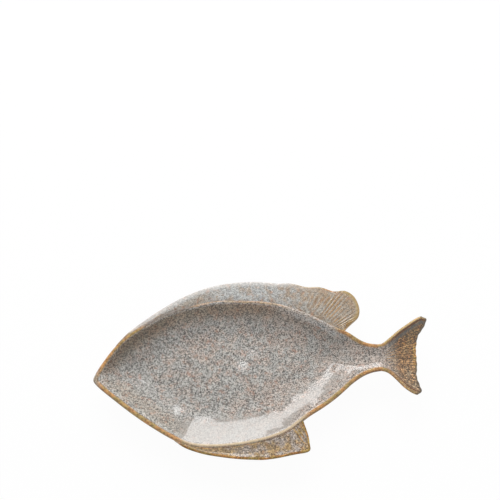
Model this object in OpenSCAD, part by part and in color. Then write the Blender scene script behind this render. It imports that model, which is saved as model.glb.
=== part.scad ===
// Fish shaped serving platter in glazed stoneware: a dish with luted fins, a fanned tail and a foot ring.
// X runs from the nose to the tail, Y towards the back fin and Z up from the table under the foot.

/* [Platter] */
// Length from the tip of the nose to the tips of the tail
plate_l = 400; // [320:10:480]
// Width from the edge of the back fin to the edge of the belly fin
plate_w = 228; // [192:6:270]
// Thickness of the wall and floor of the dish, fully rounded at the rim
wall_t = 5.5; // [4.5:0.5:7]

/* [Well] */
// Depth of the well from the rim to the floor
well_d = 24; // [16:1:32]
// Width of the sloped wall on the back side, seen from above
back_run = 36; // [30:1:42]
// Width of the sloped wall on the belly side, seen from above
belly_run = 54; // [46:1:60]
// How hard the wall curves on the back side, where 1 is a straight slope
back_curve = 1.7; // [1.3:0.1:2.4]
// How hard the wall curves on the belly side
belly_curve = 1.35; // [1.15:0.05:2]
// Rise of the rim at the nose
nose_rise = 2; // [0:0.5:8]
// Rise of the rim at the tail
tail_rise = 4; // [0:0.5:10]

/* [Fins] */
// Thickness of the back fin and the belly fin
fin_t = 4.4; // [3.4:0.2:5.4]
// Gap filled by slip between a fin and the rim that it is luted to
root_gap = 0.15; // [0.1:0.05:0.3]
// Drop of the back fin at its outer edge
back_drop = 2.5; // [0:0.5:6]
// Depth of the valley along the belly fin
belly_valley = 1.6; // [0:0.2:3]
// Rise of the belly fin at its outer edge
belly_rise = 2.4; // [0:0.2:4]
// Height of the rays pressed into both fins
fin_ray_h = 0.5; // [0.2:0.1:0.8]
// Number of rays in the back fin
back_rays = 20; // [12:1:24]
// Number of rays in the belly fin
belly_rays = 10; // [6:1:12]

/* [Tail] */
// Thickness of the tail
tail_t = 4.6; // [3.6:0.2:5.4]
// Height of the band along the two long edges of the tail
tail_band_h = 2.4; // [1:0.2:4]
// Width of that band
tail_band_w = 8; // [6:0.5:11]
// Height of the rays pressed into the tail
tail_ray_h = 0.6; // [0.2:0.1:0.9]
// Number of rays in the tail
tail_rays = 13; // [9:1:15]

/* [Foot] */
// Height of the foot ring
foot_h = 5; // [4.5:0.5:8]
// Width of the foot ring
foot_w = 5; // [3:0.5:8]
// Distance of the foot ring from the edge of the flat floor
foot_inset = 3; // [2:0.5:8]

/* [Glaze] */
// Thickness of the glaze that pools on the floor of the well
glaze_t = 0.6; // [0.4:0.1:1.2]
// Distance of the pool from the edge of the flat floor
glaze_inset = 2; // [1:0.5:8]
// Gap at the bond of the glaze and of the foot ring
bond_gap = 0.05; // [0.05:0.05:0.2]

/* [Hidden] */
half_w = plate_w / 2;
lip_r = wall_t / 2;
root_r = lip_r + root_gap;
floor_z = foot_h + wall_t;
floor_mid = foot_h + lip_r;

// The rim in pairs that face each other across the well, from the nose to the neck. Each row
// is the back point and the belly point, as x and y shares of the length and the half width.
rim_share = [
    [0.007, -0.019, 0.007, -0.019],
    [0.022, 0.082, 0.026, -0.097],
    [0.043, 0.189, 0.051, -0.181],
    [0.074, 0.324, 0.087, -0.297],
    [0.116, 0.457, 0.136, -0.448],
    [0.173, 0.57, 0.2, -0.621],
    [0.233, 0.67, 0.263, -0.76],
    [0.304, 0.73, 0.321, -0.807],
    [0.38, 0.764, 0.384, -0.816],
    [0.45, 0.749, 0.45, -0.8],
    [0.514, 0.721, 0.509, -0.762],
    [0.573, 0.667, 0.565, -0.689],
    [0.622, 0.591, 0.617, -0.559],
    [0.673, 0.49, 0.668, -0.462],
    [0.717, 0.38, 0.716, -0.348],
    [0.758, 0.305, 0.755, -0.238],
    [0.79, 0.206, 0.791, -0.163],
    [0.817, 0.151, 0.82, -0.131],
    [0.846, 0.131, 0.846, -0.122]
];
neck_share = rim_share[len(rim_share) - 1];

// The outer edges of the two fins. Each row is a place along the rim, from 0 at the nose to 1
// at the neck, and the x and y shares of the edge point that stands opposite it.
back_edge_share = [
    [0.17, 0.071, 0.351],
    [0.222, 0.106, 0.49],
    [0.278, 0.164, 0.632],
    [0.333, 0.219, 0.758],
    [0.389, 0.291, 0.895],
    [0.444, 0.376, 0.982],
    [0.5, 0.452, 0.999],
    [0.556, 0.522, 0.99],
    [0.6, 0.57, 0.942],
    [0.628, 0.604, 0.954],
    [0.661, 0.652, 0.888],
    [0.689, 0.696, 0.873],
    [0.714, 0.735, 0.813],
    [0.736, 0.771, 0.809],
    [0.756, 0.796, 0.733],
    [0.775, 0.807, 0.605],
    [0.792, 0.801, 0.492],
    [0.808, 0.779, 0.419],
    [0.822, 0.759, 0.351]
];
belly_edge_share = [
    [0.3, 0.221, -0.698],
    [0.333, 0.254, -0.795],
    [0.361, 0.288, -0.855],
    [0.389, 0.318, -0.896],
    [0.422, 0.356, -0.93],
    [0.461, 0.401, -0.966],
    [0.5, 0.45, -0.989],
    [0.533, 0.489, -0.999],
    [0.567, 0.535, -0.985],
    [0.594, 0.575, -0.966],
    [0.611, 0.602, -0.958],
    [0.619, 0.616, -0.933],
    [0.628, 0.616, -0.87],
    [0.639, 0.615, -0.787],
    [0.647, 0.61, -0.709],
    [0.652, 0.605, -0.643]
];

// The middle of the edges of the tail, from the neck to the upper tip and to the lower tip.
tail_back_share = [
    [neck_share[0], neck_share[1]],
    [0.861, 0.135],
    [0.877, 0.175],
    [0.896, 0.227],
    [0.917, 0.284],
    [0.94, 0.331],
    [0.965, 0.382],
    [0.984, 0.409]
];
tail_belly_share = [
    [neck_share[2], neck_share[3]],
    [0.86, -0.135],
    [0.873, -0.168],
    [0.884, -0.214],
    [0.896, -0.27],
    [0.91, -0.338],
    [0.927, -0.392],
    [0.94, -0.419]
];
// The trailing edge of the tail, from the upper tip to the lower tip.
tail_end_share = [
    [0.984, 0.409],
    [0.996, 0.399],
    [0.994, 0.361],
    [0.987, 0.316],
    [0.979, 0.275],
    [0.969, 0.234],
    [0.962, 0.192],
    [0.958, 0.148],
    [0.955, 0.105],
    [0.952, 0.06],
    [0.951, 0.015],
    [0.95, -0.032],
    [0.949, -0.077],
    [0.948, -0.122],
    [0.945, -0.168],
    [0.943, -0.213],
    [0.944, -0.258],
    [0.947, -0.303],
    [0.95, -0.348],
    [0.952, -0.393],
    [0.94, -0.419]
];

// How far the lines across the well run straight in from the rim before they bend
reach_share = 0.3;
// Where the rise of the rim ends behind the nose and starts before the tail
nose_rise_share = 0.35;
tail_rise_share = 0.6;
// How far a fin has grown, as a share of the half width, when it has its full drop or rise
fin_grown_share = 0.16;
// Where the rays of each fin start along its edge, and how much of the rest they take to grow
back_ray_share = 0.53;
belly_ray_share = 0.3;
fin_ray_grow_share = 0.17;
// Where the rays of the tail start behind the neck, and where they have their full height
tail_ray_start_share = 0.1;
tail_ray_full_share = 0.5;
// How much of the band's width the rays of the tail leave free
band_free_share = 0.4;
// How much of a ray's height the crinkles of the trailing edge have, and how far they take to grow
crinkle_share = 0.8;
crinkle_grow_share = 0.125;
// How far along the tail the trough of the neck has run out
trough_share = 0.7;
// The most that a fin's root takes of the round of the rim
root_bite_share = 0.85;

// Stations along the dish, lines across it, and steps round its lip
dish_rows = 45;
dish_lines = 24;
lip_steps = 5;
tail_rows = 11;
lines_per_ray = 4;
tail_lines = lines_per_ray * tail_rays;
round_steps = 3;
// Stations along each fin, before its rays start and for each ray, and steps across it
front_rows = 14;
rows_per_ray = 4;
fin_steps = 7;
root_steps = 4;
edge_steps = 4;
// A small step along the rim, to find its direction
step_share = 0.002;

function unit(v) = v / norm(v);
function ease(u) = let (v = min(max(u, 0), 1)) v * v * (3 - 2 * v);

// A point on the smooth curve through a list of points, at a place from 0 to 1 along the list
function curve_at(pts, place) =
    let (
        last = len(pts) - 1,
        spot = min(max(place, 0), 1) * last,
        k = min(floor(spot), last - 1),
        u = spot - k,
        b = pts[k],
        c = pts[k + 1],
        a = k > 0 ? pts[k - 1] : 2 * b - c,
        d = k + 2 <= last ? pts[k + 2] : 2 * c - b,
        slope = c - a,
        square = 2 * a - 5 * b + 4 * c - d,
        cube = 3 * b - a - 3 * c + d
    )
    b + (slope * u + square * u * u + cube * u * u * u) / 2;

function in_plan(share) = [share.x * plate_l, share.y * half_w];
function bend(a, b, c, t) = (1 - t) * (1 - t) * a + 2 * t * (1 - t) * b + t * t * c;

// The middle of the rim at a place along it, on the back side, 0, or the belly side, 1
function rim_at(place, side) =
    let (pair = curve_at(rim_share, place))
    in_plan([pair[2 * side], pair[2 * side + 1]]);

// The direction straight out of the dish in plan
function out_of_rim(place, side) =
    let (
        ahead = rim_at(place + step_share, side) - rim_at(place - step_share, side),
        left = place == 1 ? [0, 1] : unit([-ahead.y, ahead.x])
    )
    side == 0 ? left : -left;

// One line across the well in plan, square to the rim at both ends
function line_across(place, count) =
    let (
        back = rim_at(place, 0),
        belly = rim_at(place, 1),
        reach = norm(back - belly) * reach_share,
        in_back = back - out_of_rim(place, 0) * reach,
        in_belly = belly - out_of_rim(place, 1) * reach,
        middle = (in_back + in_belly) / 2
    )
    [for (j = [0 : count])
        let (t = (j / count + (1 - cos(180 * j / count)) / 2) / 2)
        back == belly ? back
            : t < 0.5 ? bend(back, in_back, middle, 2 * t)
            : bend(belly, in_belly, middle, 2 - 2 * t)];

// The distance run at each point of a line
function distances(line) =
    let (step = [for (j = [0 : len(line) - 1]) j == 0 ? 0 : norm(line[j] - line[j - 1])])
    [for (j = 0, run = 0; j < len(line); j = j + 1, run = run + (j < len(line) ? step[j] : 0)) run];

function slope_share(dist, run, curve) = pow(max(0, 1 - dist / run), curve);
function rise_at(x) =
    nose_rise * pow(max(0, 1 - x / plate_l / nose_rise_share), 2)
    + tail_rise * pow(max(0, (x / plate_l - tail_rise_share) / (1 - tail_rise_share)), 2);
function rim_z(x) = floor_mid + well_d + rise_at(x);
// How far the middle of the clay lies below the rim, at a distance from each side of the well
function drop_at(x, from_back, from_belly) =
    (well_d + rise_at(x))
    * (1 - slope_share(from_back, back_run, back_curve))
    * (1 - slope_share(from_belly, belly_run, belly_curve));

// The middle surface of the clay of the dish, line by line
function dish_grid() =
    [for (i = [0 : dish_rows])
        let (
            line = line_across(i / dish_rows, dish_lines),
            run = distances(line),
            whole = run[dish_lines]
        )
        [for (j = [0 : dish_lines])
            [line[j].x, line[j].y, rim_z(line[j].x) - drop_at(line[j].x, run[j], whole - run[j])]]];

// The upward and the outward direction at one point of a grid. The seam row stays in its own upright plane.
function facing(grid, i, j, seam) =
    let (
        row = grid[i],
        over = row[min(j + 1, len(row) - 1)] - row[max(j - 1, 0)],
        along = i == seam ? [1, 0, 0] : grid[min(i + 1, len(grid) - 1)][j] - grid[max(i - 1, 0)][j],
        up = norm(over) == 0 ? [0, 0, 1] : unit(cross(over, along)),
        out = norm(over) == 0 ? [-1, 0, 0] : unit(cross(up, along)) * (j == 0 ? 1 : -1)
    )
    [up, out];

// The closed section of a shell along one row of its grid: round the belly lip, over the top, round
// the back lip and back underneath, where it takes every line or every second one
function shell_loop(grid, i, seam, half, relief, skip) =
    let (
        row = grid[i],
        last = len(row) - 1,
        turned = [for (j = [0 : last]) facing(grid, i, j, seam)],
        back_edge = turned[0],
        belly_edge = turned[last]
    )
    concat(
        [for (k = [lip_steps - 1 : -1 : 1])
            let (a = 180 * k / lip_steps)
            row[last] + half * (cos(a) * belly_edge[0] + sin(a) * belly_edge[1])],
        [for (j = [last : -1 : 0]) row[j] + (half + relief[j]) * turned[j][0]],
        [for (k = [1 : lip_steps - 1])
            let (a = 180 * k / lip_steps)
            row[0] + half * (cos(a) * back_edge[0] + sin(a) * back_edge[1])],
        [for (j = [0 : skip : last]) row[j] - half * turned[j][0]]
    );

// A solid through closed sections that all have as many points
module loft(loops, close_start, close_end) {
    size = len(loops[0]);
    ends = (len(loops) - 1) * size;
    points = [for (loop = loops) each loop];
    sides = [
        for (i = [0 : len(loops) - 2], j = [0 : size - 1])
            let (a = i * size + j, b = i * size + (j + 1) % size)
            each [[a, b, b + size], [a, b + size, a + size]]
    ];
    whole_sides = [
        for (f = sides)
            if (norm(cross(points[f[1]] - points[f[0]], points[f[2]] - points[f[0]])) > 0) f
    ];
    start = close_start ? [[for (j = [size - 1 : -1 : 0]) j]] : [];
    end = close_end ? [[for (j = [0 : size - 1]) ends + j]] : [];
    polyhedron(points, concat(whole_sides, start, end));
}

module in_place() {
    translate([-plate_l / 2, 0, 0]) children();
}

module dish_body() {
    grid = dish_grid();
    flat = [for (j = [0 : dish_lines]) 0];
    color([0.66, 0.63, 0.59])
        in_place()
            loft([for (i = [0 : dish_rows]) shell_loop(grid, i, dish_rows, lip_r, flat, 2)], false, true);
}

// One closed section of a fin, which stands out from the rim at a place along its edge
function fin_loop(edge_share, place, side, valley, lift, rays, ray_start) =
    let (
        spot = curve_at(edge_share, place),
        root = rim_at(spot[0], side),
        edge = in_plan([spot[1], spot[2]]),
        away = unit(edge - root),
        square = away * out_of_rim(spot[0], side),
        half = fin_t / 2,
        bite = asin(min(root_bite_share, half / root_r)),
        near = root_r * cos(bite) / square,
        room = norm(edge - root) - near,
        nose_r = min(half, room / 2),
        far = norm(edge - root) - nose_r,
        grown = ease(room / (fin_grown_share * half_w)),
        past = max(0, (place - ray_start) / (1 - ray_start)),
        ray = fin_ray_h * grown * cos(360 * rays * past) * ease(past / fin_ray_grow_share),
        z = rim_z(root.x),
        middle = [for (f = [0 : fin_steps])
            let (s = f / fin_steps)
            grown * (lift * s * s - valley * sin(180 * s))],
        dist = [for (f = [0 : fin_steps]) near + (far - near) * f / fin_steps],
        round_edge = [for (k = [1 : edge_steps - 1])
            let (a = 180 * k / edge_steps)
            [far + nose_r * sin(a), middle[fin_steps] + half * cos(a)]],
        under = [for (f = [fin_steps : -1 : 1]) [dist[f], middle[f] - half]],
        hollow_root = [for (k = [0 : root_steps])
            let (a = bite * (2 * k / root_steps - 1))
            [root_r * cos(a) / square, root_r * sin(a)]],
        over = [for (f = [1 : fin_steps])
            [dist[f], middle[f] + half + ray * sin(180 * f / (fin_steps + 1))]]
    )
    [for (p = concat(round_edge, under, hollow_root, over))
        [root.x + away.x * p.x, root.y + away.y * p.x, z + p.y]];

function fin_places(rays, ray_start) =
    concat(
        [for (i = [0 : front_rows - 1]) ray_start * i / front_rows],
        [for (i = [0 : rays * rows_per_ray]) ray_start + (1 - ray_start) * i / rays / rows_per_ray]
    );

// The same section run the other way round, which starts on the upright edge too
function turned_over(loop) = [for (k = [0 : len(loop) - 1]) loop[(len(loop) + 1 - k) % len(loop)]];

module fin(edge_share, side, valley, lift, rays, ray_start) {
    loops = [for (place = fin_places(rays, ray_start))
        fin_loop(edge_share, place, side, valley, lift, rays, ray_start)];
    loft(side == 0 ? loops : [for (loop = loops) turned_over(loop)], true, true);
}

module back_fin() {
    color([0.7, 0.67, 0.63])
        in_place()
            fin(back_edge_share, 0, 0, -back_drop, back_rays, back_ray_share);
}

module belly_fin() {
    color([0.7, 0.6, 0.48])
        in_place()
            fin(belly_edge_share, 1, belly_valley, belly_rise, belly_rays, belly_ray_share);
}

// A point on the middle surface of the tail, u from the neck to the trailing edge and t from back to belly
function tail_at(u, t) =
    let (
        back = in_plan(curve_at(tail_back_share, u)),
        belly = in_plan(curve_at(tail_belly_share, u)),
        straight = back * (1 - t) + belly * t,
        end = in_plan(curve_at(tail_end_share, t)),
        end_straight = in_plan(tail_back_share[len(tail_back_share) - 1]) * (1 - t)
            + in_plan(tail_belly_share[len(tail_belly_share) - 1]) * t,
        wave = cos(360 * tail_rays * t) * ease(min(t, 1 - t) / crinkle_grow_share),
        crinkle = [tail_ray_h * crinkle_share * wave, 0],
        plan = straight + (end - end_straight + crinkle) * u * u,
        neck_w = (neck_share[1] - neck_share[3]) * half_w,
        trough = drop_at(neck_share[0] * plate_l, neck_w * t, neck_w * (1 - t)),
        from_edge = norm(back - belly) * min(t, 1 - t),
        dished = tail_band_h * (1 - pow(max(0, 1 - from_edge / tail_band_w), 2)),
        mix = ease(u / trough_share)
    )
    [plan.x, plan.y, rim_z(plan.x) - trough * (1 - mix) - dished * mix];

// The height of the rays at one point of the tail
function tail_ray(u, t) =
    let (
        width = norm(in_plan(curve_at(tail_back_share, u)) - in_plan(curve_at(tail_belly_share, u))),
        inner = ease(width * min(t, 1 - t) / tail_band_w - band_free_share),
        grown = ease((u - tail_ray_start_share) / (tail_ray_full_share - tail_ray_start_share))
    )
    tail_ray_h * cos(360 * tail_rays * t) * inner * grown;

module tail_fin() {
    rows = [for (i = [0 : tail_rows])
        [for (j = [0 : tail_lines]) tail_at(i / tail_rows, j / tail_lines)]];
    edge = rows[tail_rows];
    before = rows[tail_rows - 1];
    rounding = [for (k = [1 : round_steps])
        let (reach = tail_t / 2 * sin(90 * k / round_steps))
        [for (j = [0 : tail_lines]) edge[j] + unit(edge[j] - before[j]) * reach]];
    grid = concat(rows, rounding);
    halves = concat(
        [for (i = [0 : tail_rows]) lip_r + (tail_t / 2 - lip_r) * ease(2 * i / tail_rows)],
        [for (k = [1 : round_steps]) k == round_steps ? 0 : tail_t / 2 * cos(90 * k / round_steps)]
    );
    relief = [for (i = [0 : tail_rows + round_steps])
        [for (j = [0 : tail_lines])
            let (left = max(0, 1 - max(0, i - tail_rows) / round_steps))
            tail_ray(min(1, i / tail_rows), j / tail_lines) * left]];
    color([0.62, 0.52, 0.4])
        in_place()
            loft(
                [for (i = [0 : len(grid) - 1]) shell_loop(grid, i, 0, halves[i], relief[i], 1)],
                true, false
            );
}

// The outline that runs inside the rim, at one distance from its back side and one from its belly side
function inset_outline(from_back, from_belly) =
    let (
        lines = [for (i = [0 : dish_rows]) line_across(i / dish_rows, dish_lines)],
        runs = [for (line = lines) distances(line)],
        wide = [for (i = [0 : dish_rows]) if (runs[i][dish_lines] > from_back + from_belly) i]
    )
    concat(
        [for (i = wide) point_along(lines[i], runs[i], from_back)],
        [for (k = [len(wide) - 1 : -1 : 0])
            let (i = wide[k])
            point_along(lines[i], runs[i], runs[i][dish_lines] - from_belly)]
    );

function point_along(line, run, dist) =
    [
        lookup(dist, [for (j = [0 : len(line) - 1]) [run[j], line[j].x]]),
        lookup(dist, [for (j = [0 : len(line) - 1]) [run[j], line[j].y]])
    ];

module foot_ring() {
    back_side = back_run + foot_inset;
    belly_side = belly_run + foot_inset;
    color([0.78, 0.72, 0.63])
        in_place()
            linear_extrude(foot_h - bond_gap)
                difference() {
                    polygon(inset_outline(back_side, belly_side));
                    polygon(inset_outline(back_side + foot_w, belly_side + foot_w));
                }
}

module well_glaze() {
    color([0.6, 0.58, 0.55])
        in_place()
            translate([0, 0, floor_z + bond_gap])
                linear_extrude(glaze_t)
                    polygon(inset_outline(back_run + glaze_inset, belly_run + glaze_inset));
}

dish_body();
back_fin();
belly_fin();
tail_fin();
foot_ring();
well_glaze();
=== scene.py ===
import math

import bmesh
import bpy
import numpy as np
from mathutils import Matrix, Vector, noise
from mathutils.bvhtree import BVHTree
from mathutils.kdtree import KDTree


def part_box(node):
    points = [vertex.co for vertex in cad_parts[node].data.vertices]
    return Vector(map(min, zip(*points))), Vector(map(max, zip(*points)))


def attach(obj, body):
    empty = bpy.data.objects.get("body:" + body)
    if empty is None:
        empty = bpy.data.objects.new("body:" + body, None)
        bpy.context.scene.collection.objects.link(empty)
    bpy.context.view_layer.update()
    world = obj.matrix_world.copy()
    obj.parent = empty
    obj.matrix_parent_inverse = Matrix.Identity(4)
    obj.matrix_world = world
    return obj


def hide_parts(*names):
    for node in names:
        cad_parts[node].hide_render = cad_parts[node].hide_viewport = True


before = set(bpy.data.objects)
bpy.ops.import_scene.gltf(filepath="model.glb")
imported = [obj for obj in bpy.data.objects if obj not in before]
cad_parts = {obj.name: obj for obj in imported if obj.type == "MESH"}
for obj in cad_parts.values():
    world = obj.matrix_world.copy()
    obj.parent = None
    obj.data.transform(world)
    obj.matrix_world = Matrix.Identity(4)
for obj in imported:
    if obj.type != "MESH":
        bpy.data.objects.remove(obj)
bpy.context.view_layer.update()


# The dish
# The body of the fish is one pressed dish of stoneware with a rolled lip, which runs into the neck.
# It is dipped in a grey reactive glaze that pools pale in the well and breaks amber on its edges.

neck_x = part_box("dish_body")[1].x
well_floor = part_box("well_glaze")[0].z
weld = 0.00001
seam_reach = 0.0002
seam_fade = 0.012
floor_fade = 0.008
facing = 0.9
knead_depth, knead_width = 0.00016, 0.02
fine_share, fine_scale = 0.4, 2.3
thumb_dent = (-0.113, -0.033)
thumb_width, thumb_depth = 0.014, 0.00045

# A crest is full from this bulge per metre on, and the upper side from this slope on.
# The nearness to the edge is counted in millimetres over one edge zone.
full_bulge = 330
topside_slope = 0.25
mm_per_metre = 1000
edge_zone = 40.0

# The nose points to -X. The back fin lies on the far side (+Y) and the belly fin on the near side.
# A run along the fish has four places: where it starts, is full, is last full and ends.
# A half has two: where it starts and where it is full.
fin_start_run = (-0.145, -0.13, -0.085, -0.07)
belly_run = (-0.11, -0.08, 0.035, 0.055)
back_run = (-0.085, -0.07, 0.02, 0.04)
lobe_run = (0.02, 0.04, 0.085, 0.1)
long_belly_run = (-0.115, -0.09, 0.02, 0.045)
tail_end_run = (0.01, 0.04, 0.07, 0.1)
far_half = (0.0, 0.04)
front_half, rear_half = (0.05, 0.0), (0.0, 0.05)
nose_tip = (-0.198, -0.186)
nose_to_neck = (-0.18, 0.14)

# The spots in the glaze: how many a metre holds, their finer sizes and how strong these are.
glaze_spots = {
    "grain": (1120.0, 1.0, 0.5),
    "blotches": (320.0, 2.0, 0.6),
    "rust": (230.0, 1.0, 0.5),
    "hue": (95.0, 2.0, 0.6),
    "clouds": (46.0, 4.0, 0.65),
    "drift": (11.0, 3.0, 0.55),
}
crystal_scale = 930.0
shake_scale, shake = 900.0, (0.0008, 0.0008, 0.0008)
glaze_relief = 0.0001
glass_coat = {"Specular IOR Level": 0.15, "Coat Weight": 1.0, "Coat Roughness": 0.04, "Coat IOR": 1.5}
dish_look = {
    "Dark grain": (0.03, 0.026, 0.022),
    "Pale grain": (0.655, 0.61, 0.56),
    "Cool": (0.96, 1.0, 1.02),
    "Warm": (1.06, 0.975, 0.93),
    "Pooled": (0.46, 0.46, 0.44),
    "Rim": 4.2,
}
amber_dark, amber_pale = (0.25, 0.1, 0.025), (0.66, 0.34, 0.11)
olive_dark, olive_pale = (0.18, 0.11, 0.025), (0.5, 0.35, 0.12)
rust_spots = (0.46, 0.2, 0.11)
# Painted shade: darkens the far wall under the crest, and the back fin towards its root.
painted_crest_shade = (0.72, 0.6, 0.46)
# Painted shade on the far wall, by the rear lobe and by the nose.
well_shade = (0.7, 0.67, 0.61)
cool_crest = (1.16, 1.22, 1.28)
warm_wall = (0.95, 0.89, 0.82)
thick_glaze = (0.37, 0.34, 0.31)
# Painted highlight along the top of the near lip.
painted_lip_highlight = (0.66, 0.52, 0.33)
# Painted shadow along the outer edge of the near rim.
painted_rim_shadow = (0.17, 0.075, 0.02)
# Darker along the join of the back fin and the rim.
dark_seam = (0.11, 0.09, 0.08)


def points_of(piece, kind="co"):
    """The places of a piece's points, or their normals, one row each."""
    values = np.empty(len(piece.data.vertices) * 3)
    piece.data.vertices.foreach_get(kind, values)
    return values.reshape(-1, 3)


def ends_of(piece):
    """The first and the second points of a piece's edges."""
    values = np.empty(len(piece.data.edges) * 2, int)
    piece.data.edges.foreach_get("vertices", values)
    return values.reshape(-1, 2).T


def set_points(piece, points):
    """Moves a piece's points to new places."""
    piece.data.vertices.foreach_set("co", points.ravel())
    piece.data.update()


def set_marks(piece, name, values):
    """Keeps one number for each point, as an attribute that a finish can read."""
    piece.data.attributes.new(name, "FLOAT", "POINT").data.foreach_set("value", values)


def copied(node, name):
    """A copy of one solid's mesh, merged and turned into quads, ready to be softened."""
    bpy.ops.object.select_all(action="DESELECT")
    piece = bpy.data.objects.new(name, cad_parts[node].data.copy())
    bpy.context.scene.collection.objects.link(piece)
    bpy.context.view_layer.objects.active = piece
    piece.select_set(True)
    piece.data.materials.clear()
    bpy.ops.object.mode_set(mode="EDIT")
    bpy.ops.mesh.select_all(action="SELECT")
    bpy.ops.mesh.remove_doubles(threshold=weld)
    bpy.ops.mesh.tris_convert_to_quads(face_threshold=math.radians(50), shape_threshold=math.radians(60))
    bpy.ops.object.mode_set(mode="OBJECT")
    return piece


def pick_faces(piece, wanted):
    """Goes into edit mode with the wanted faces alone selected."""
    bpy.ops.object.mode_set(mode="EDIT")
    bpy.ops.mesh.select_mode(type="FACE")
    bpy.ops.mesh.select_all(action="DESELECT")
    bpy.ops.object.mode_set(mode="OBJECT")
    for face in piece.data.polygons:
        face.select = wanted(face)
    bpy.ops.object.mode_set(mode="EDIT")


def opened_at_neck(piece):
    """Takes away the flat faces on the seam between dish and tail, so that both run on smoothly there."""
    pick_faces(piece, lambda face: abs(face.center.x - neck_x) < seam_reach and abs(face.normal.x) > facing)
    bpy.ops.mesh.delete(type="FACE")
    bpy.ops.object.mode_set(mode="OBJECT")


def softened(piece, levels=2, kind="CATMULL_CLARK"):
    """Splits a piece's faces, and rounds it the way wet clay and glaze do."""
    bpy.context.view_layer.objects.active = piece
    rounding = piece.modifiers.new("rounding", "SUBSURF")
    rounding.subdivision_type = kind
    rounding.levels = rounding.render_levels = levels
    bpy.ops.object.modifier_apply(modifier=rounding.name)
    bpy.ops.object.shade_smooth()


def kneaded(piece, depth, width, held_at=None, flat_below=0.0):
    """Moves the surface in and out a little, as hands and a press leave it.
    It stays put at the seam and on the flat ground."""
    points = points_of(piece)
    normals = points_of(piece, "normal")
    places = [Vector(point) / width for point in points]
    lift = np.array([noise.noise(place) + fine_share * noise.noise(place * fine_scale) for place in places])
    if held_at is not None:
        lift *= np.clip(np.abs(points[:, 0] - held_at) / seam_fade, 0, 1)
    lift *= np.clip((points[:, 2] - flat_below) / floor_fade, 0, 1)
    set_points(piece, points + normals * (lift * depth)[:, None])


def dented(piece, middle, width, depth):
    """Presses one shallow dent into the upper side, as a thumb leaves it."""
    points, normals = points_of(piece), points_of(piece, "normal")
    reach = ((points[:, :2] - middle) ** 2).sum(1) / width ** 2
    upward = normals[:, 2] > 0.2
    set_points(piece, points - normals * (np.exp(-reach) * depth * upward)[:, None])


def marked(piece, rounds=2):
    """Keeps how sharply the surface bulges, as the attribute crest: glaze runs thin there.
    Along an edge that is twice the drop from the tangent plane, over the square of the edge's length.
    The attribute topside tells the upper side from the under side."""
    points, normals = points_of(piece), points_of(piece, "normal")
    a, b = ends_of(piece)
    step = points[b] - points[a]
    span = np.maximum((step ** 2).sum(1), 1e-12)
    count = np.bincount(a, minlength=len(points)) + np.bincount(b, minlength=len(points))
    bulge = np.bincount(a, -2 * (step * normals[a]).sum(1) / span, len(points))
    bulge += np.bincount(b, 2 * (step * normals[b]).sum(1) / span, len(points))
    bulge /= count
    for _ in range(rounds):
        near = np.bincount(a, bulge[b], len(points)) + np.bincount(b, bulge[a], len(points))
        bulge = (bulge + near / count) / 2
    set_marks(piece, "crest", np.clip(bulge / full_bulge, -1, 1).astype(np.float32))
    set_marks(piece, "topside", np.clip(normals[:, 2] / topside_slope, 0, 1).astype(np.float32))


def edged(piece, wanted=lambda middle, outward: True, name="nearness"):
    """Keeps how near each point lies to the outline seen from above, as an attribute.
    It counts in millimetres, and starts one edge zone away from the outline."""
    body = bmesh.new()
    body.from_mesh(piece.data)
    outline = []
    for edge in body.edges:
        faces = edge.link_faces
        if len(faces) == 2 and (faces[0].normal.z > 0) != (faces[1].normal.z > 0):
            middle = (edge.verts[0].co + edge.verts[1].co) / 2
            outward = edge.verts[0].normal + edge.verts[1].normal
            if wanted(middle, Vector((outward.x, outward.y)).normalized()):
                outline.append(middle)
    body.free()
    tree = KDTree(len(outline))
    for i, middle in enumerate(outline):
        tree.insert((middle.x, middle.y, 0), i)
    tree.balance()
    gaps = [tree.find((x, y, 0))[2] for x, y, _ in points_of(piece)]
    set_marks(piece, name, [max(0, edge_zone - mm_per_metre * gap) for gap in gaps])


def joined(tree, value, socket):
    """Links a socket to another, or sets a plain number or colour on it."""
    if isinstance(value, bpy.types.NodeSocket):
        tree.links.new(value, socket)
    elif isinstance(value, tuple) and len(value) == 3 and socket.type == "RGBA":
        socket.default_value = (*value, 1)
    else:
        socket.default_value = value


def linked(tree, kind, **given):
    """A node of a kind, with the inputs that are given by name."""
    node = tree.nodes.new(kind)
    for name, value in given.items():
        joined(tree, value, node.inputs[name.replace("_", " ")])
    return node


def blended(tree, share, low, high, kind="MIX"):
    """Two colours mixed by a share."""
    node = tree.nodes.new("ShaderNodeMix")
    node.data_type, node.blend_type = "RGBA", kind
    for socket, value in ((node.inputs[0], share), (node.inputs[6], low), (node.inputs[7], high)):
        joined(tree, value, socket)
    return node.outputs[2]


def layered(tree, colour, *layers):
    """A colour with layers over it, each with its share, its tone and the way it is mixed."""
    for share, tone, kind in layers:
        colour = blended(tree, share, colour, tone, kind)
    return colour


def between(tree, share, low, high):
    """Two values mixed by a share."""
    node = tree.nodes.new("ShaderNodeMix")
    for socket, value in ((node.inputs[0], share), (node.inputs[2], low), (node.inputs[3], high)):
        joined(tree, value, socket)
    return node.outputs[0]


def stepped(tree, value, *steps):
    """A value that each step in turn replaces as far as its share goes."""
    for share, changed in steps:
        value = between(tree, share, value, changed)
    return value


def ranged(tree, value, low, high, out_low=0.0, out_high=1.0):
    """A value taken from one range to another, with soft ends."""
    node = tree.nodes.new("ShaderNodeMapRange")
    node.interpolation_type = "SMOOTHSTEP"
    names = "Value", "From Min", "From Max", "To Min", "To Max"
    for name, given in zip(names, (value, low, high, out_low, out_high)):
        joined(tree, given, node.inputs[name])
    return node.outputs["Result"]


def reckoned(tree, kind, *values):
    """One step of arithmetic on values."""
    node = tree.nodes.new("ShaderNodeMath")
    node.operation = kind
    for socket, value in zip(node.inputs, values):
        joined(tree, value, socket)
    return node.outputs[0]


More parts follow.
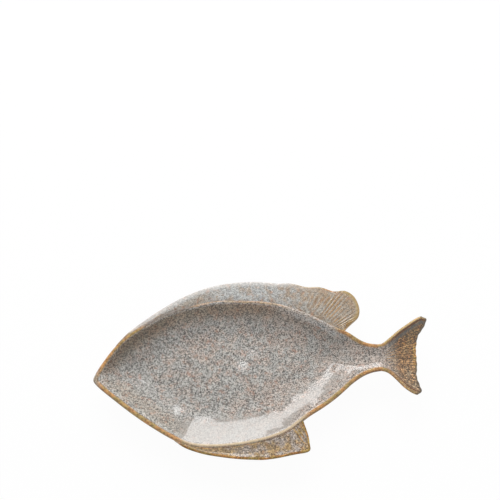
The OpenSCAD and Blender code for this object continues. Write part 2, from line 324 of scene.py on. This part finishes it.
def moved(tree, kind, *values):
    """One step of arithmetic on places."""
    node = tree.nodes.new("ShaderNodeVectorMath")
    node.operation = kind
    for socket, value in zip(node.inputs, values):
        joined(tree, value, socket)
    return node.outputs["Vector"]


def product(tree, *shares):
    """Shares multiplied with each other."""
    result = shares[0]
    for share in shares[1:]:
        result = reckoned(tree, "MULTIPLY", result, share)
    return result


def bounded(tree, value, start, full, last=None, end=None):
    """A share that is full from one value on, or in the middle of a run that fades at both ends."""
    share = ranged(tree, value, start, full)
    return share if last is None else product(tree, share, ranged(tree, value, end, last))


def object_place(tree):
    """The place on the object."""
    return tree.nodes.new("ShaderNodeTexCoord").outputs["Object"]


def spot(tree):
    """The place on the object, as its X, Y and Z."""
    return linked(tree, "ShaderNodeSeparateXYZ", Vector=object_place(tree)).outputs


def kept(tree, name):
    """The value of one of the piece's own attributes."""
    node = tree.nodes.new("ShaderNodeAttribute")
    node.attribute_name = name
    return node.outputs["Fac"]


def gap_to_edge(tree, name="nearness"):
    """The distance from the piece's edge in millimetres."""
    return reckoned(tree, "SUBTRACT", edge_zone, kept(tree, name))


def patch(tree, share=1.0, inward=None, along=None, across=None, upper=False, edge="nearness"):
    """How much a patch of glaze shows at a place: up to its share, within its bounds.
    Inward from the edge they count in millimetres, and along and across the fish in metres."""
    shares = [share]
    if inward:
        shares.append(bounded(tree, gap_to_edge(tree, edge), *inward))
    if along:
        shares.append(bounded(tree, spot(tree)["X"], *along))
    if across:
        shares.append(bounded(tree, spot(tree)["Y"], *across))
    if upper:
        shares.append(kept(tree, "topside"))
    return product(tree, *shares)


def reactive_glaze():
    """The effect that all glazed pieces share: mottled grain, slow drift of colour and amber edges."""
    group = bpy.data.node_groups.new("reactive_glaze", "ShaderNodeTree")
    for names, way, kind in (
        (("Dark grain", "Pale grain", "Cool", "Warm", "Pooled"), "INPUT", "NodeSocketColor"),
        (("Rim", "Warmth", "Amber", "Bareness"), "INPUT", "NodeSocketFloat"),
        (("Colour",), "OUTPUT", "NodeSocketColor"),
        (("Roughness", "Height"), "OUTPUT", "NodeSocketFloat"),
    ):
        for name in names:
            group.interface.new_socket(name=name, in_out=way, socket_type=kind)
    into = group.nodes.new("NodeGroupInput").outputs
    place = object_place(group)
    crest = kept(group, "crest")
    spots = {}
    for name, (scale, detail, roughness) in glaze_spots.items():
        cloud = linked(
            group, "ShaderNodeTexNoise", Vector=place, Scale=scale, Detail=detail, Roughness=roughness,
        )
        spots[name] = cloud.outputs["Fac"]
    grain, hue, clouds = spots["grain"], spots["hue"], spots["clouds"]
    shaken = linked(group, "ShaderNodeTexNoise", Vector=place, Scale=shake_scale, Detail=1.0).outputs["Color"]
    shaken = moved(group, "MULTIPLY_ADD", shaken, shake, place)
    crystals = linked(group, "ShaderNodeTexVoronoi", Vector=shaken, Scale=crystal_scale).outputs["Color"]
    crystals = linked(group, "ShaderNodeSeparateXYZ", Vector=crystals).outputs["X"]

    # The glaze itself: grain and crystals, tinted cool or warm, with rust spots, and pooled in hollows.
    mottle = between(group, 0.65, ranged(group, grain, 0.4, 0.6), ranged(group, crystals, 0.1, 0.9))
    colour = blended(group, mottle, into["Dark grain"], into["Pale grain"])
    warm_share = reckoned(group, "ADD", into["Warmth"], ranged(group, spots["drift"], 0.3, 0.7, -0.4, 0.4))
    warm_share = reckoned(group, "ADD", warm_share, ranged(group, hue, 0.32, 0.68, -0.6, 0.6))
    tint = blended(group, warm_share, into["Cool"], into["Warm"])
    rusty = product(group, ranged(group, spots["rust"], 0.55, 0.72, 0.0, 0.35), ranged(group, hue, 0.4, 0.6))
    pool = product(group, ranged(group, crest, -0.08, -0.5), 0.5)
    colour = layered(
        group, colour,
        (1.0, tint, "MULTIPLY"),
        (rusty, rust_spots, "MIX"),
        (pool, into["Pooled"], "MIX"),
    )

    # Where it runs thin, on crests and along the edge, it breaks to amber and olive with a ragged border.
    ragged = ranged(group, clouds, 0.3, 0.7, -0.25, 0.25)
    thin = reckoned(group, "ADD", reckoned(group, "ADD", crest, ragged), into["Bareness"])
    inward = reckoned(group, "SUBTRACT", gap_to_edge(group), ragged)
    inward = reckoned(group, "DIVIDE", inward, into["Rim"])
    runny = reckoned(group, "MAXIMUM", ranged(group, thin, 0.35, 0.8), ranged(group, inward, 1.2, 0.8))
    amber_share = product(group, runny, into["Amber"])
    olive = ranged(group, hue, 0.4, 0.62)
    amber_low = blended(group, olive, amber_dark, olive_dark)
    amber_high = blended(group, olive, amber_pale, olive_pale)
    blotch = between(group, 0.4, ranged(group, spots["blotches"], 0.38, 0.6), mottle)
    colour = blended(group, amber_share, colour, blended(group, blotch, amber_low, amber_high))

    rough = ranged(group, clouds, 0.3, 0.75, 0.08, 0.15)
    rough = reckoned(group, "ADD", rough, product(group, amber_share, 0.08))
    height = reckoned(group, "ADD", product(group, grain, 0.012), clouds)
    out = group.nodes.new("NodeGroupOutput").inputs
    for name, value in (("Colour", colour), ("Roughness", rough), ("Height", height)):
        group.links.new(value, out[name])
    return group


glaze = reactive_glaze()


def painted(name):
    """A new finish, with its node tree and its shader."""
    finish = bpy.data.materials.new(name)
    finish.use_nodes = True
    return finish, finish.node_tree, finish.node_tree.nodes["Principled BSDF"]


def skinned(tree, look, warmth, amber=1.0, bareness=0.0, **changed):
    """The shared effect in one piece's own colours."""
    skin = tree.nodes.new("ShaderNodeGroup")
    skin.node_tree = glaze
    given = {**look, "Warmth": warmth, "Amber": amber, "Bareness": bareness, **changed}
    for name, value in given.items():
        joined(tree, value, skin.inputs[name])
    return skin.outputs


def glassy(tree, shader, colour, rough, height):
    """Lays a clear glassy coat over a colour, with the glaze's soft unevenness."""
    relief = linked(tree, "ShaderNodeBump", Height=height, Distance=glaze_relief, Strength=0.5)
    surface = {"Base Color": colour, "Roughness": rough, "Normal": relief.outputs["Normal"]}
    for name, value in {**glass_coat, **surface}.items():
        joined(tree, value, shader.inputs[name])


def fitted(piece, node, finish):
    """Gives a piece its finish and lets it stand for its solid."""
    piece.data.materials.append(finish)
    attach(piece, "root")
    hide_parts(node)


def dish_glaze(name):
    """Grey and speckled in the well, amber on the rim, and calmer where it lies thick on the walls, with
    painted shade on the far wall and a painted shadow and a painted highlight on the near rim.
    """
    finish, tree, shader = painted(name)
    x, y, z = spot(tree)
    far_side, rear = ranged(tree, y, *far_half), ranged(tree, x, *rear_half)
    by_belly, by_back = bounded(tree, x, *belly_run), bounded(tree, x, *back_run)
    by_lobe, by_fin_start = bounded(tree, x, *lobe_run), bounded(tree, x, *fin_start_run)
    far_amber = stepped(tree, 1.0, (by_back, 0.6), (by_lobe, 0.12), (by_fin_start, 0.2))
    amber = stepped(tree, 1.0, (by_belly, 0.45), (far_side, far_amber))
    amber = product(tree, amber, ranged(tree, x, *nose_tip, 0.35, 1.0))
    far_rim = stepped(tree, dish_look["Rim"], (rear, 5.4), (by_back, 2.6))
    rim = between(tree, far_side, 5.1, far_rim)
    skin = skinned(tree, dish_look, ranged(tree, x, *nose_to_neck, 0.2, 0.75), amber, Rim=rim)

    # Painted shade on the far wall under the crest.
    far_wall_shade = patch(tree, 0.95, inward=(4, 6, 8, 24), along=front_half, across=far_half, upper=True)
    # Painted shade on the far wall by the rear lobe.
    rear_wall_shade = patch(tree, 0.5, inward=(8, 11, 13, 20), along=lobe_run, across=far_half)
    rear_crest = patch(tree, inward=(0, 2, 6, 11), along=lobe_run, across=far_half)
    # Painted shade on the far wall by the nose.
    nose_wall_shade = patch(tree, inward=(4, 6, 9, 20), along=(-0.09, -0.13), across=(0, 0.012))
    # A painted shadow line along the outer edge of the near rim.
    rim_shadow_line = patch(tree, product(tree, amber, 0.7), inward=(1.4, 0.6), across=(0.01, 0))
    near_wall = patch(tree, inward=(4, 8, 20, 34), along=(-0.06, -0.1), across=(0.01, -0.01), upper=True)
    near_crest = patch(tree, inward=(5.6, 6.6, 9, 13), along=(-0.08, -0.1), across=(0.01, 0))
    # Darker along the join of the back fin and the rim.
    fin_seam = patch(tree, 0.7, inward=(0.2, 0.8, 2.4, 4.4), along=fin_start_run, across=far_half)
    belly_wall = patch(tree, 0.6, inward=(5, 8), along=long_belly_run, across=(-0.046, -0.062), upper=True)
    tail_wall = patch(tree, 0.5, inward=(12, 16, 24, 30), along=tail_end_run, across=(0.02, 0.01), upper=True)
    # A painted highlight along the top of the near lip.
    lip_highlight = patch(tree, 0.75, inward=(1.8, 2.8, 4, 5.4), along=belly_run, across=(0, -0.03))
    colour = layered(
        tree, skin["Colour"],
        (far_wall_shade, painted_crest_shade, "MULTIPLY"),
        (rear_wall_shade, well_shade, "MULTIPLY"),
        (rear_crest, cool_crest, "MULTIPLY"),
        (nose_wall_shade, well_shade, "MULTIPLY"),
        (rim_shadow_line, painted_rim_shadow, "MIX"),
        (near_wall, warm_wall, "MULTIPLY"),
        (near_crest, cool_crest, "MULTIPLY"),
        (fin_seam, dark_seam, "MIX"),
        (belly_wall, thick_glaze, "MIX"),
        (tail_wall, thick_glaze, "MIX"),
        (lip_highlight, painted_lip_highlight, "MIX"),
    )
    calm = ranged(tree, z, well_floor, well_floor + floor_fade, 0.3, 0.4)
    glassy(tree, shader, colour, skin["Roughness"], product(tree, skin["Height"], calm))
    return finish


dish = copied("dish_body", "dish")
opened_at_neck(dish)
softened(dish)
kneaded(dish, knead_depth, knead_width, held_at=neck_x, flat_below=well_floor)
dented(dish, thumb_dent, thumb_width, thumb_depth)
marked(dish)
edged(dish)
fitted(dish, "dish_body", dish_glaze("dish_glaze"))


# The foot ring
# A low ring of the same clay under the well, on which the platter stands.
# Its base is wiped free of glaze before the firing, so bare sandy clay shows there.

worn_edge_width = 0.0009
worn_edge_steps = 3
sand_scale, stain_scale = 520.0, 30.0
sand_relief = 0.0004
clay_dark = (0.36, 0.27, 0.19)
clay_pale = (0.6, 0.5, 0.38)


def bare_clay():
    """Sandy clay without glaze, with a few darker stains."""
    finish, tree, shader = painted("bare_clay")
    place = object_place(tree)
    sand = linked(tree, "ShaderNodeTexNoise", Vector=place, Scale=sand_scale, Detail=5.0, Roughness=0.8)
    stain = linked(tree, "ShaderNodeTexNoise", Vector=place, Scale=stain_scale, Detail=3.0, Roughness=0.6)
    sand, stain = sand.outputs["Fac"], stain.outputs["Fac"]
    colour = blended(tree, ranged(tree, sand, 0.3, 0.7), clay_dark, clay_pale)
    colour = blended(tree, ranged(tree, stain, 0.5, 0.8, 0.0, 0.5), colour, clay_dark)
    relief = linked(tree, "ShaderNodeBump", Height=sand, Distance=sand_relief)
    joined(tree, relief.outputs["Normal"], shader.inputs["Normal"])
    joined(tree, colour, shader.inputs["Base Color"])
    joined(tree, ranged(tree, sand, 0.3, 0.7, 0.7, 0.9), shader.inputs["Roughness"])
    return finish


foot = copied("foot_ring", "foot")
worn_edge = foot.modifiers.new("worn_edge", "BEVEL")
worn_edge.width, worn_edge.segments, worn_edge.limit_method = worn_edge_width, worn_edge_steps, "ANGLE"
bpy.ops.object.modifier_apply(modifier=worn_edge.name)
bpy.ops.object.shade_smooth_by_angle(angle=math.radians(40))
fitted(foot, "foot_ring", bare_clay())


# The back fin
# A flat, scalloped fin along the back, with rays pressed into its rear lobe, luted to the rim with slip.
# The glaze lies pale and cool on it, warms to amber on the lobe and breaks on the scallops.

slip_reach = 0.0006
slip_bite = 0.0012
root_reach = 0.0025
fin_knead_depth = 0.0002
back_knead_width = 0.02
lobe_start = (0.02, 0.095)
coarse_scale = 430.0
crystal_dark, crystal_pale = (0.4, 0.38, 0.38), (1.5, 1.46, 1.4)
# Painted sheen along the outer edge of the back fin.
painted_edge_sheen = (0.66, 0.63, 0.6)
lobe_brown = (0.93, 0.87, 0.78)
lobe_rim = (0.4, 0.28, 0.11)
back_look = {
    "Dark grain": (0.2, 0.18, 0.16),
    "Pale grain": (0.56, 0.53, 0.495),
    "Cool": (0.96, 1.02, 1.06),
    "Warm": (0.88, 0.74, 0.6),
    "Pooled": (0.5, 0.5, 0.48),
}

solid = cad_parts["dish_body"].data
rim_wall = BVHTree.FromPolygons([v.co for v in solid.vertices], [face.vertices for face in solid.polygons])


def clear_of_rim(middle, outward):
    """Tells the free edge of a fin from its root."""
    return rim_wall.find_nearest(middle)[3] > root_reach


def luted(fin):
    """Works the root of a fin into the rim, as slip does, so that no gap shows."""
    points = points_of(fin)
    for i, point in enumerate(points):
        nearest, normal, _, gap = rim_wall.find_nearest(Vector(point))
        if gap < slip_reach:
            points[i] = nearest - normal * slip_bite
    set_points(fin, points)


def coarse(tree):
    """Coarse crystals, as they grow where the glaze lies thin."""
    crystals = linked(tree, "ShaderNodeTexNoise", Vector=object_place(tree), Scale=coarse_scale, Detail=1.0)
    return blended(tree, ranged(tree, crystals.outputs["Fac"], 0.4, 0.6), crystal_dark, crystal_pale)


def back_fin_glaze():
    """Pale and cool with a painted sheen along the scallops and painted shade towards the root, and brown and
    amber on the rear lobe.
    """
    finish, tree, shader = painted("back_fin_glaze")
    x = spot(tree)["X"]
    lobe = ranged(tree, x, *lobe_start)
    warmth = between(tree, lobe, -0.1, 0.85)
    front_amber = ranged(tree, x, -0.06, -0.09, 0.35, 0.8)
    amber = between(tree, lobe, front_amber, 0.9)
    bareness = between(tree, lobe, 0.0, -0.12)
    skin = skinned(tree, back_look, warmth, amber, bareness, Rim=between(tree, lobe, 1.2, 2.6))
    # A painted sheen along the outer edge.
    edge_sheen = patch(tree, between(tree, lobe, 0.5, 0.1), inward=(1, 2, 4, 8))
    # Painted shade towards the root of the back fin.
    root = patch(tree, 0.6, inward=(6, 10), along=(-0.03, -0.08))
    rear_rim = patch(tree, 0.7, inward=(6.5, 3), along=(0.1, 0.108))
    cool = patch(tree, 0.35, inward=(2, 3.5), along=(-0.07, -0.04, 0, 0.03))
    edge_line = patch(tree, between(tree, lobe, 0.75, 0.0), inward=(1.6, 0.4))
    colour = layered(
        tree, skin["Colour"],
        (edge_sheen, painted_edge_sheen, "MIX"),
        (root, painted_crest_shade, "MULTIPLY"),
        (0.22, coarse(tree), "MULTIPLY"),
        (lobe, lobe_brown, "MULTIPLY"),
        (rear_rim, lobe_rim, "MIX"),
        (cool, cool_crest, "MULTIPLY"),
        (edge_line, lobe_rim, "MIX"),
    )
    glassy(tree, shader, colour, skin["Roughness"], skin["Height"])
    return finish


back_fin = copied("back_fin", "back_fin_glazed")
luted(back_fin)
softened(back_fin)
kneaded(back_fin, fin_knead_depth, back_knead_width)
marked(back_fin)
edged(back_fin, clear_of_rim)
fitted(back_fin, "back_fin", back_fin_glaze())


# The belly fin
# A small curled fin under the belly with rays pressed into it, luted to the rim like the back fin.
# It lies on the low side of the rim, where the glaze runs off and leaves it brown and amber.

belly_knead_width = 0.016
belly_look = {
    "Dark grain": (0.1, 0.065, 0.035),
    "Pale grain": (0.6, 0.47, 0.31),
    "Cool": (0.98, 1.1, 1.5),
    "Warm": (0.92, 0.82, 0.6),
    "Pooled": (0.3, 0.24, 0.16),
    "Rim": 2.0,
}


def belly_fin_glaze():
    """Brown and coarse, and less glassy towards its edge."""
    finish, tree, shader = painted("belly_fin_glaze")
    warmth = ranged(tree, spot(tree)["X"], -0.05, 0.04, 1.1, 0.1)
    skin = skinned(tree, belly_look, warmth, bareness=0.2)
    colour = blended(tree, 0.5, skin["Colour"], coarse(tree), "MULTIPLY")
    glassy(tree, shader, colour, skin["Roughness"], skin["Height"])
    gloss = ranged(tree, gap_to_edge(tree), 2.0, 7.0, 0.25, 1.0)
    joined(tree, gloss, shader.inputs["Coat Weight"])
    return finish


belly_fin = copied("belly_fin", "belly_fin_glazed")
luted(belly_fin)
softened(belly_fin)
kneaded(belly_fin, fin_knead_depth, belly_knead_width)
marked(belly_fin)
edged(belly_fin, clear_of_rim)
fitted(belly_fin, "belly_fin", belly_fin_glaze())


# The tail
# A fanned tail with a raised band along its two long edges and rays pressed in between.
# Glaze is thin on the rays and shows the amber, and lies dark in the grooves between them.

flush = 1e-5
ray_wear, ray_wear_rounds = 0.5, 6
wear_start, least_wear = 0.3, 0.3
tail_knead_depth, tail_knead_width = 0.00015, 0.014
trailing_slope = 0.3
fan_middle = (0.118, 0.001, 0)
fan_end = 0.165
comb_lines = 120.0
comb_wander_scale, comb_wander = 60.0, 0.03
comb_depth = 0.16
upper_half = (-0.01, 0.01)
tail_look = {
    "Dark grain": (0.03, 0.02, 0.012),
    "Cool": (0.95, 1.02, 1.05),
    "Warm": (1.05, 0.9, 0.72),
    "Pooled": (0.09, 0.08, 0.065),
    "Rim": 1.6,
}
tail_lower, tail_upper = (0.6, 0.44, 0.3), (0.38, 0.245, 0.115)
streak_dark, streak_pale = (0.74, 0.7, 0.66), (1.16, 1.12, 1.04)
band_crest = (0.6, 0.42, 0.18)
band_line = (0.12, 0.042, 0.008)
band_groove = (0.09, 0.09, 0.085)
band_shade = (0.66, 0.64, 0.64)
# Painted shadow along the trailing edge at the tail's tips.
painted_trailing_shadow = (0.1, 0.07, 0.04)


def rays_worn(piece):
    """Wears the rays down a little, most on their upper side and not at all at the neck."""
    rays = piece.vertex_groups.new(name="rays")
    for point in piece.data.vertices:
        free = min(1, max(0, (point.co.x - neck_x) / seam_fade - wear_start))
        rays.add([point.index], free * max(least_wear, point.normal.z), "REPLACE")
    worn = piece.modifiers.new("worn_rays", "SMOOTH")
    worn.factor, worn.iterations, worn.vertex_group = ray_wear, ray_wear_rounds, rays.name
    bpy.ops.object.modifier_apply(modifier=worn.name)
    piece.vertex_groups.clear()


def nearest_on(points, starts, steps):
    """The nearest place to each point on straight stretches, which are given by their starts and steps."""
    share = ((points - starts) * steps).sum(-1) / np.maximum((steps ** 2).sum(-1), 1e-14)
    return starts + np.clip(share, 0, 1)[..., None] * steps


def laid_on_seam(piece, other):
    """Lays the open edge of one skin on that of another, so that they meet without a step."""
    points, target = points_of(piece), points_of(other)
    a, b = ends_of(other)
    at_neck = np.abs(target[:, 0] - neck_x) < flush
    seam = at_neck[a] & at_neck[b]
    starts, steps = target[a[seam]], target[b[seam]] - target[a[seam]]
    for i in np.nonzero(np.abs(points[:, 0] - neck_x) < flush)[0]:
        near = nearest_on(points[i], starts, steps)
        points[i] = near[((near - points[i]) ** 2).sum(1).argmin()]
    set_points(piece, points)


def combed(tree):
    """Fine lines that fan out from the neck, as a comb leaves them in wet clay."""
    place = object_place(tree)
    parts = linked(tree, "ShaderNodeSeparateXYZ", Vector=moved(tree, "SUBTRACT", place, fan_middle)).outputs
    angle = reckoned(tree, "ARCTAN2", parts["Y"], parts["X"])
    wander = linked(tree, "ShaderNodeTexNoise", Vector=place, Scale=comb_wander_scale, Detail=2.0)
    angle = reckoned(tree, "ADD", angle, product(tree, wander.outputs["Fac"], comb_wander))
    return reckoned(tree, "SINE", product(tree, angle, comb_lines))


def tail_glaze():
    """The dish's glaze at the neck, which turns to combed amber streaks with dark lines along the bands, and
    a painted shadow at the tips of the trailing edge.
    """
    finish, tree, shader = painted("tail_glaze")
    x, y, _ = spot(tree)
    fan, upper = ranged(tree, x, neck_x, fan_end), ranged(tree, y, *upper_half)
    streaks = combed(tree)
    lines = product(tree, streaks, comb_depth)
    streaked = blended(tree, ranged(tree, streaks, -1.0, 1.0), streak_dark, streak_pale)
    plain = skinned(tree, dish_look, 0.75)
    pale = blended(tree, ranged(tree, y, -0.025, 0.02), tail_lower, tail_upper)
    bumps = patch(tree, 0.7, inward=(6, 3), across=(-0.02, -0.008, 0.012, 0.02), edge="trailing")
    rayed = skinned(tree, {**tail_look, "Pale grain": pale}, 0.5, 0.9, reckoned(tree, "ADD", lines, bumps))
    crest = patch(tree, between(tree, upper, 0.3, 0.8), inward=(0.6, 1.4, 2.4, 3.6))
    line = patch(tree, 0.95, inward=(2.8, 3.8, 4.6, 5.6))
    groove = patch(tree, between(tree, upper, 0.15, 0.75), inward=(4.8, 6, 7.5, 10.5))
    shade = patch(tree, 0.6, inward=(7, 9, 13, 22), across=(0, 0.012))
    tips = between(tree, bounded(tree, y, -0.016, -0.006, 0.012, 0.02), 0.75, 0.0)
    # A painted shadow along the trailing edge at the tips.
    end = patch(tree, tips, inward=(3.5, 1.2), edge="trailing")
    colour = layered(
        tree, rayed["Colour"],
        (0.75, coarse(tree), "MULTIPLY"),
        (1.0, streaked, "MULTIPLY"),
        (crest, band_crest, "MIX"),
        (line, band_line, "MIX"),
        (groove, band_groove, "MIX"),
        (shade, band_shade, "MULTIPLY"),
        (end, painted_trailing_shadow, "MIX"),
    )
    glassy(
        tree, shader,
        blended(tree, fan, plain["Colour"], colour),
        between(tree, fan, plain["Roughness"], rayed["Roughness"]),
        between(tree, fan, plain["Height"], reckoned(tree, "ADD", rayed["Height"], lines)),
    )
    return finish


tail = copied("tail_fin", "tail")
opened_at_neck(tail)
rays_worn(tail)
softened(tail)
laid_on_seam(tail, dish)
kneaded(tail, tail_knead_depth, tail_knead_width, held_at=neck_x)
marked(tail)
edged(tail, lambda middle, outward: outward.x < trailing_slope)
edged(tail, lambda middle, outward: outward.x >= trailing_slope, "trailing")
fitted(tail, "tail_fin", tail_glaze())


# The pooled glaze
# The glaze gathers on the flat floor of the well in a glassy sheet that thins out at its edge.
# It is the dish's own glaze, which runs down the walls and melts together there in the kiln.

pool_edge = 0.011
pool_lip = 0.03
pool_levels = 4


def gap_to_outline(points, starts, ends):
    """How far each point lies from an outline, in plan."""
    places = points[:, None, :2]
    near = nearest_on(places, starts[:, :2], (ends - starts)[:, :2])
    return np.sqrt(((places - near) ** 2).sum(2).min(1))


def thinned_out(piece):
    """Lets the sheet run out: its top sinks to the floor of the well towards the edge."""
    points = points_of(piece)
    low, high = points[:, 2].min(), points[:, 2].max()
    base = points[:, 2] < (low + high) / 2
    sides = {key for face in piece.data.polygons if abs(face.normal.z) < 0.5 for key in face.edge_keys}
    rim = np.array(sorted(key for key in sides if base[key[0]] and base[key[1]]))
    starts, ends = points[rim[:, 0]], points[rim[:, 1]]
    pick_faces(piece, lambda face: face.normal.z > facing)
    bpy.ops.mesh.dissolve_faces()
    bpy.ops.mesh.quads_convert_to_tris(ngon_method="BEAUTY")
    bpy.ops.object.mode_set(mode="OBJECT")
    softened(piece, pool_levels, "SIMPLE")
    points = points_of(piece)
    share = np.clip(gap_to_outline(points, starts, ends) / pool_edge, 0, 1)
    height = pool_lip + (1 - pool_lip) * share * share * (3 - 2 * share)
    points[:, 2] = low + (points[:, 2] - low) * height
    set_points(piece, points)
    bpy.ops.object.shade_smooth_by_angle(angle=math.radians(30))


pool = copied("well_glaze", "pool")
thinned_out(pool)
fitted(pool, "well_glaze", dish_glaze("pooled_glaze"))


# The floor, the light and the camera
# A white floor under a white sky, the six lit panes of a window behind the back fin, daylight from
# the same side, two small lamps above, and a lens of 90 mm.

floor_size = 6.0
floor_colour, floor_roughness = (0.9, 0.9, 0.9), 0.9
floor_white_share = 0.96
white = (1, 1, 1)
sky_behind, sky_ahead = 0.46, 0.58
sky_turn = 0.8
window_radiance = 3.8
window_distance = 2.0

# The left, right, lower and upper ends of each pane.
window_panes = {
    "wide_pane": (-0.5, 0.56, 0.52, 0.86),
    "low_pane": (-0.27, 0.52, 0.4, 0.52),
    "upper_pane": (-0.35, 0.0, 0.86, 0.95),
    "top_pane": (0.0, 0.56, 0.86, 1.27),
    "far_pane": (-0.86, -0.5, 0.72, 0.93),
    "corner_pane": (-0.62, -0.5, 0.65, 0.72),
}

# The place, the side and the radiance of each small lamp.
small_lamps = {
    "near_lamp": ((0.0106, 0.9501, 2.3281), 0.028, 6.5),
    "far_lamp": ((0.0479, 0.9975, 2.3162), 0.034, 4.2),
}
daylight_place, daylight_size = (0, 1.3, 1.45), (2.2, 1.2)
daylight_radiance = 3.3

aim = Vector((0.00125, -0.0008, 0.034))
camera_elevation = math.radians(68)
camera_azimuth = math.radians(-4.6)
camera_distance = 1.47517
aim_pixel = (263.56, 366.98)
frame_pixels = 500
lens = 90
sensor = 36


def seen_directly(tree):
    """A share of one where the camera sees the surface, straight, in a mirror or through glass."""
    path = tree.nodes.new("ShaderNodeLightPath").outputs
    seen = reckoned(tree, "MAXIMUM", path["Is Camera Ray"], path["Is Glossy Ray"])
    return reckoned(tree, "MAXIMUM", seen, path["Is Transmission Ray"])


def white_paper():
    """White to the eye, but it keeps the platter's shadow."""
    finish, tree, shader = painted("paper")
    joined(tree, floor_colour, shader.inputs["Base Color"])
    joined(tree, floor_roughness, shader.inputs["Roughness"])
    mix = tree.nodes.new("ShaderNodeMixShader")
    glow = linked(tree, "ShaderNodeEmission", Color=white)
    joined(tree, product(tree, seen_directly(tree), floor_white_share), mix.inputs[0])
    joined(tree, shader.outputs[0], mix.inputs[1])
    joined(tree, glow.outputs[0], mix.inputs[2])
    joined(tree, mix.outputs[0], tree.nodes["Material Output"].inputs["Surface"])
    return finish


def white_sky():
    """White to the eye. Its light comes a little more from ahead of the camera than from behind."""
    sky = bpy.data.worlds.new("sky")
    sky.use_nodes = True
    tree = sky.node_tree
    outward = tree.nodes.new("ShaderNodeTexCoord").outputs["Generated"]
    outward = linked(tree, "ShaderNodeSeparateXYZ", Vector=outward).outputs
    glow = ranged(tree, outward["Y"], -sky_turn, sky_turn, sky_behind, sky_ahead)
    background = tree.nodes["Background"].inputs
    joined(tree, white, background["Color"])
    joined(tree, between(tree, seen_directly(tree), glow, 1.0), background["Strength"])
    return sky


def panel(name, place, target, size, radiance, mirrored=True):
    """A flat lamp that shines evenly from a place towards a target."""
    light = bpy.data.lights.new(name, "AREA")
    light.shape = "RECTANGLE"
    light.size, light.size_y = size
    light.energy = radiance * math.pi * size[0] * size[1]
    lamp = bpy.data.objects.new(name, light)
    bpy.context.scene.collection.objects.link(lamp)
    lamp.location = place
    lamp.rotation_euler = (Vector(target) - Vector(place)).to_track_quat("-Z", "Y").to_euler()
    lamp.visible_camera = False
    lamp.visible_glossy = mirrored


bpy.ops.mesh.primitive_plane_add(size=floor_size, location=(0, 0, 0))
floor = bpy.context.object
floor.name = "floor"
floor.data.materials.append(white_paper())
bpy.context.scene.world = white_sky()

for name, (low_x, high_x, low_z, high_z) in window_panes.items():
    middle = ((low_x + high_x) / 2, window_distance, (low_z + high_z) / 2)
    panel(name, middle, (middle[0], 0, middle[2]), (high_x - low_x, high_z - low_z), window_radiance)
for name, (place, side, radiance) in small_lamps.items():
    panel(name, place, (0, 0, 0), (side, side), radiance)
panel("daylight", daylight_place, (0, 0, 0), daylight_size, daylight_radiance, mirrored=False)

# The camera stands back from the aim by its distance, and is turned until the aim falls on its pixel.
back = Vector((
    math.sin(camera_azimuth) * math.cos(camera_elevation),
    -math.cos(camera_azimuth) * math.cos(camera_elevation),
    math.sin(camera_elevation),
))
focal_pixels = lens / sensor * frame_pixels
pitch = math.atan((aim_pixel[1] - frame_pixels / 2) / focal_pixels)
yaw = math.atan((aim_pixel[0] - frame_pixels / 2) / focal_pixels * math.cos(pitch))
right = (-back).cross(Vector((0, 0, 1))).normalized()
up = right.cross(-back)
ahead = -back * math.cos(pitch) + up * math.sin(pitch)
up = up * math.cos(pitch) + back * math.sin(pitch)
ahead, right = ahead * math.cos(yaw) - right * math.sin(yaw), right * math.cos(yaw) + ahead * math.sin(yaw)
camera = bpy.data.objects.new("camera", bpy.data.cameras.new("camera"))
bpy.context.scene.collection.objects.link(camera)
camera.data.lens, camera.data.sensor_width = lens, sensor
turn = Matrix((right, up, -ahead)).transposed().to_4x4()
camera.matrix_world = Matrix.Translation(aim + back * camera_distance) @ turn
bpy.context.scene.camera = camera
bpy.context.scene.view_settings.view_transform = "Standard"
